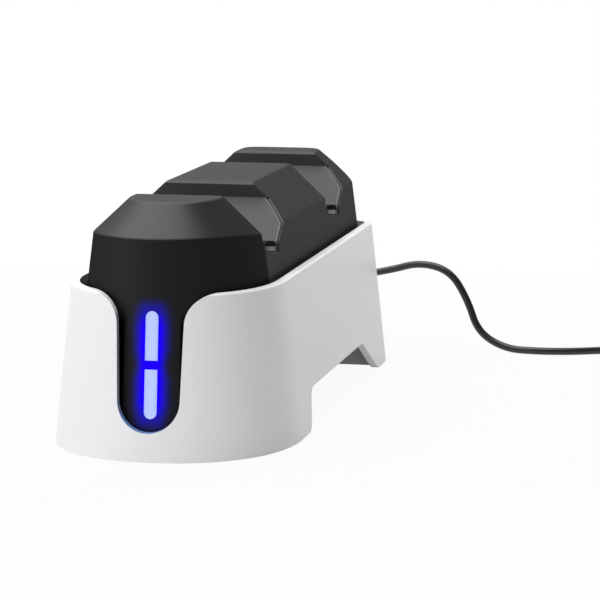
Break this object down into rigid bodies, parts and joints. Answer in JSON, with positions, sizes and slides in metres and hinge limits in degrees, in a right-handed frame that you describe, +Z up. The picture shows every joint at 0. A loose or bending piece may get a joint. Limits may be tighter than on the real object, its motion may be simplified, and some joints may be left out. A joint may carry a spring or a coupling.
{
  "type": "controller charging dock",
  "caption": "Charging dock with a white drafted shell, a black core with cradle slots across it, lit status bars in the nose and a fixed lead.",
  "frame": {"origin": "under the middle of the shell, on the table", "axes": "+Z up, -Y towards the nose with the light bars, +X to the right seen from the nose"},
  "size_m": [0.2179, 0.3362, 0.0794],
  "materials": {
    "white_shell": "satin white moulding",
    "black_core": "fine matte black moulding",
    "dark_base": "matte dark grey moulding",
    "grey_liner": "soft matte grey",
    "black_terminal": "matte black",
    "gold_pin": "gold plated",
    "circuit_board": "green laminate",
    "chip": "matte black",
    "capacitor_can": "plain can",
    "white_inner": "matte white",
    "led_lens": "clear lens",
    "light_bar": "lit blue diffuser",
    "foot_rubber": "matte",
    "screw_steel": "zinc plated",
    "cord_rubber": "satin black sheath",
    "tie_plastic": "black strap",
    "plug_metal": "plain steel"
  },
  "bodies": {
    "dock": {"base_plate": "dark_base", "board_screws": "screw_steel", "case_screws": "screw_steel", "contact_board_front": "circuit_board", "contact_board_rear": "circuit_board", "control_chip": "chip", "cord_coil": "cord_rubber", "cord_gland": "cord_rubber", "cord_tail": "cord_rubber", "cord_tie": "tie_plastic", "core_housing": "black_core", "cradle_front": "grey_liner", "cradle_rear": "grey_liner", "filter_capacitors": "capacitor_can", "light_board": "circuit_board", "light_holder": "white_inner", "lower_light_bar": "light_bar", "main_board": "circuit_board", "outer_shell": "white_shell", "plug_body": "cord_rubber", "plug_shell": "plug_metal", "power_coil": "chip", "power_cord": "cord_rubber", "rubber_feet": "foot_rubber", "status_leds": "led_lens", "terminal_block_front": "black_terminal", "terminal_block_rear": "black_terminal", "terminal_screws": "screw_steel", "upper_light_bar": "light_bar", "wire_headers": "white_inner"},
    "pin_front_left": {"contact_pin_front_left": "gold_pin"},
    "pin_front_right": {"contact_pin_front_right": "gold_pin"},
    "pin_rear_left": {"contact_pin_rear_left": "gold_pin"},
    "pin_rear_right": {"contact_pin_rear_right": "gold_pin"}
  },
  "joints": [
    {"name": "pin_front_left_travel", "type": "slide", "parent": "dock", "child": "pin_front_left", "axis": [0, 0, 1], "range_m": [-0.0012, 0], "stiffness_N_per_m": 500, "springref_m": 0.0006},
    {"name": "pin_front_right_travel", "type": "slide", "parent": "dock", "child": "pin_front_right", "axis": [0, 0, 1], "range_m": [-0.0012, 0], "stiffness_N_per_m": 500, "springref_m": 0.0006},
    {"name": "pin_rear_left_travel", "type": "slide", "parent": "dock", "child": "pin_rear_left", "axis": [0, 0, 1], "range_m": [-0.0012, 0], "stiffness_N_per_m": 500, "springref_m": 0.0006},
    {"name": "pin_rear_right_travel", "type": "slide", "parent": "dock", "child": "pin_rear_right", "axis": [0, 0, 1], "range_m": [-0.0012, 0], "stiffness_N_per_m": 500, "springref_m": 0.0006}
  ]
}
